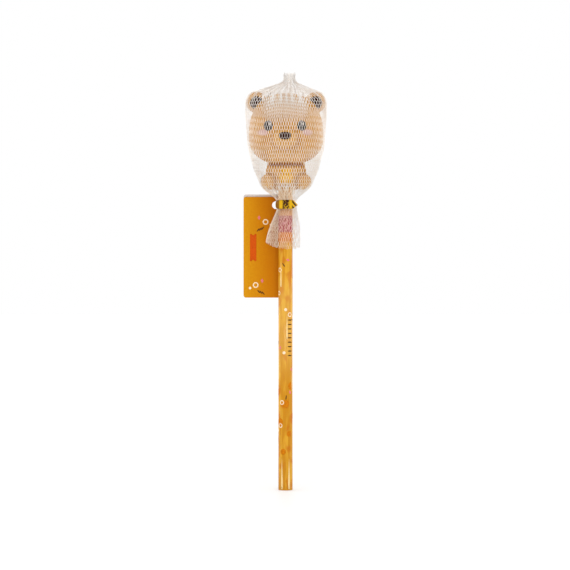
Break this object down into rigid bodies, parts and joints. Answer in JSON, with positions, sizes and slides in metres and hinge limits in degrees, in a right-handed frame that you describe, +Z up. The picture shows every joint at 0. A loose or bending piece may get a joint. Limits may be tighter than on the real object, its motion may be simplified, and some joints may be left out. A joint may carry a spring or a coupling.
{
  "type": "pencil with squishy topper",
  "caption": "Round unsharpened pencil with a soft foam bear topper in a gathered net bag, held by a tie band with a folded hang tag.",
  "frame": {"origin": "middle of the flat lower end of the unsharpened pencil", "axes": "+Z up the barrel towards the topper, -Y towards the front of the bear's face, +X to the right as seen from the front"},
  "size_m": [0.0439, 0.038, 0.2172],
  "materials": {
    "barrel_lacquer": "satin",
    "graphite": "satin",
    "foam_skin": "matte",
    "foam_pot": "matte",
    "face_paint": "satin",
    "netting": "matte",
    "band_ribbon": "satin",
    "tag_card": "satin"
  },
  "bodies": {
    "pencil": {"barrel_front_slat": "barrel_lacquer", "barrel_back_slat": "barrel_lacquer", "graphite_lead": "graphite"},
    "topper": {"torso": "foam_skin", "left_foot": "foam_skin", "right_foot": "foam_skin", "belly_pot": "foam_pot", "net_bag": "netting", "tie_band": "band_ribbon"},
    "head": {"head": "foam_skin", "left_ear": "foam_skin", "right_ear": "foam_skin", "left_inner_ear": "face_paint", "right_inner_ear": "face_paint", "snout": "foam_skin", "nose": "face_paint", "left_eye": "face_paint", "right_eye": "face_paint"},
    "tag_front": {"tag_front_leaf": "tag_card"},
    "tag_back": {"tag_back_leaf": "tag_card"}
  },
  "joints": [
    {"name": "topper_pull", "type": "slide", "parent": "pencil", "child": "topper", "axis": [0, 0, 1], "range_m": [0, 0.085]},
    {"name": "head_press", "type": "slide", "parent": "topper", "child": "head", "axis": [0, 0, -1], "range_m": [0, 0.003], "stiffness_N_per_m": 400, "springref_m": -0.001, "deforming": ["torso"]},
    {"name": "tag_swing", "type": "hinge", "parent": "topper", "child": "tag_front", "pos_m": [-0.00495, 0.00525, 0.1484], "axis": [0, 1, 0], "range_deg": [-20, 30]},
    {"name": "tag_open", "type": "hinge", "parent": "tag_front", "child": "tag_back", "pos_m": [0.00205, 0.00525, 0.1484], "axis": [0, 0, -1], "range_deg": [0, 12]}
  ]
}
